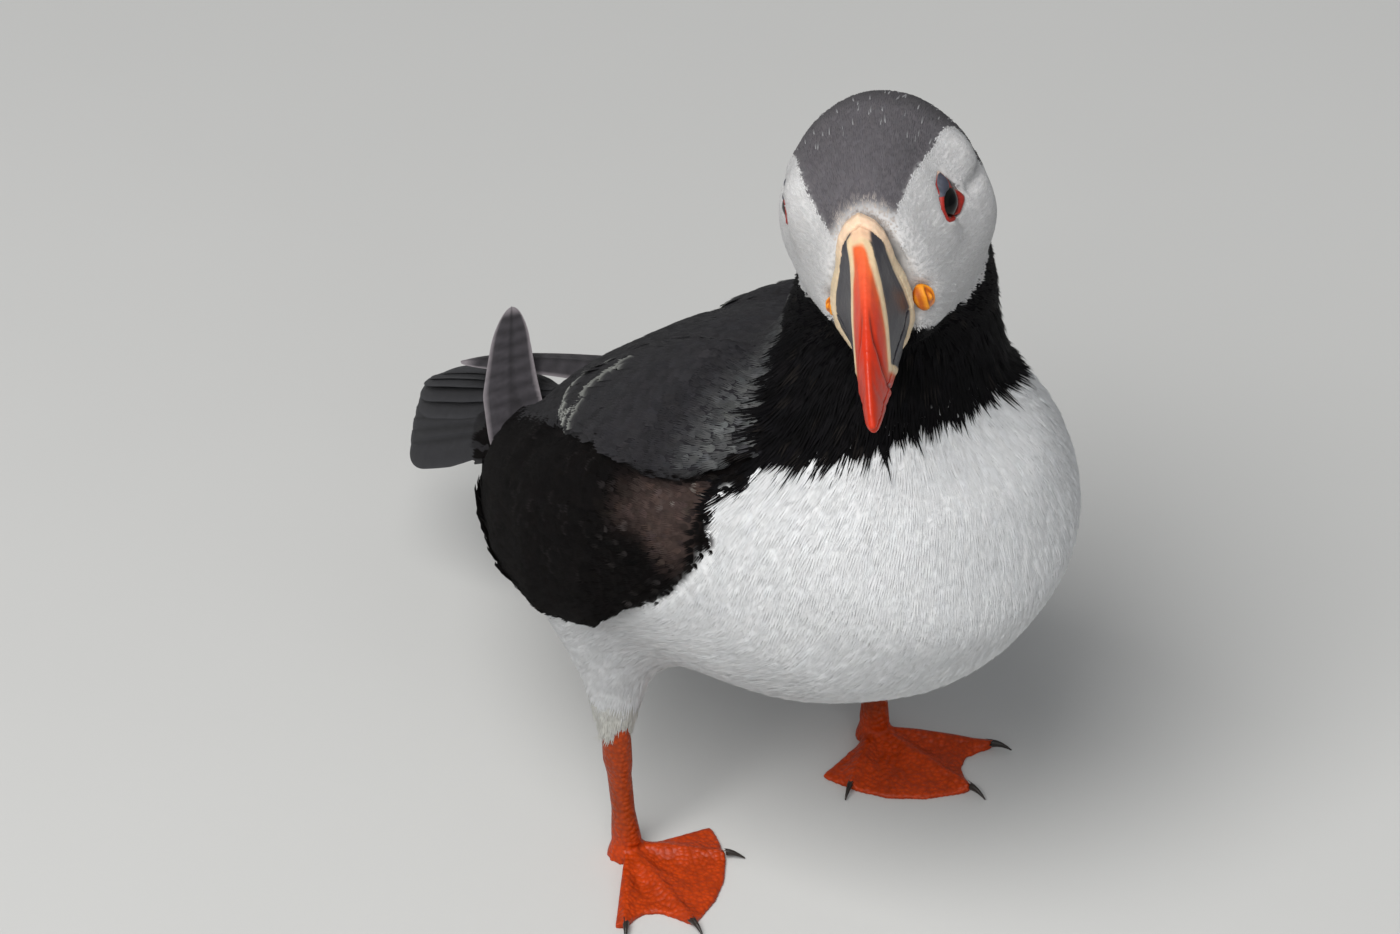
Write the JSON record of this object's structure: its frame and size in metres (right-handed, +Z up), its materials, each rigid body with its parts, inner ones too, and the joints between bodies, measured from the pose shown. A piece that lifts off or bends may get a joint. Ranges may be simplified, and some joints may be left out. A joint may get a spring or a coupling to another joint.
{
  "type": "atlantic puffin",
  "caption": "Standing Atlantic puffin, a still life-size figure with folded wings, a deep striped bill turned to one side and webbed feet flat on the ground.",
  "frame": {"origin": "on the ground, under the middle of the bird's outline seen from above", "axes": "-Y the way the breast faces, +X towards the bird's left side, +Z up"},
  "size_m": [0.1078, 0.205, 0.2061],
  "materials": {
    "face_feathers": "matte",
    "collar_feathers": "matte",
    "breast_feathers": "matte",
    "dark_feathers": "satin",
    "bill_horn": "satin",
    "bill_rim_skin": "matte",
    "rosette_skin": "matte",
    "eye_globe": "gloss",
    "leg_skin": "satin",
    "claw_horn": "gloss"
  },
  "bodies": {
    "root": {"bill_lower": "bill_horn", "bill_rim": "bill_rim_skin", "bill_upper": "bill_horn", "claw_inner_left": "claw_horn", "claw_inner_right": "claw_horn", "claw_middle_left": "claw_horn", "claw_middle_right": "claw_horn", "claw_outer_left": "claw_horn", "claw_outer_right": "claw_horn", "eye_left": "eye_globe", "eye_right": "eye_globe", "foot_left": "leg_skin", "foot_right": "leg_skin", "head": "face_feathers", "neck": "collar_feathers", "rosette_left": "rosette_skin", "rosette_right": "rosette_skin", "scapulars_left": "dark_feathers", "scapulars_right": "dark_feathers", "tail": "dark_feathers", "tarsus_left": "leg_skin", "tarsus_right": "leg_skin", "thigh_left": "breast_feathers", "thigh_right": "breast_feathers", "trunk": "breast_feathers", "wing_left": "dark_feathers", "wing_right": "dark_feathers"}
  },
  "joints": []
}
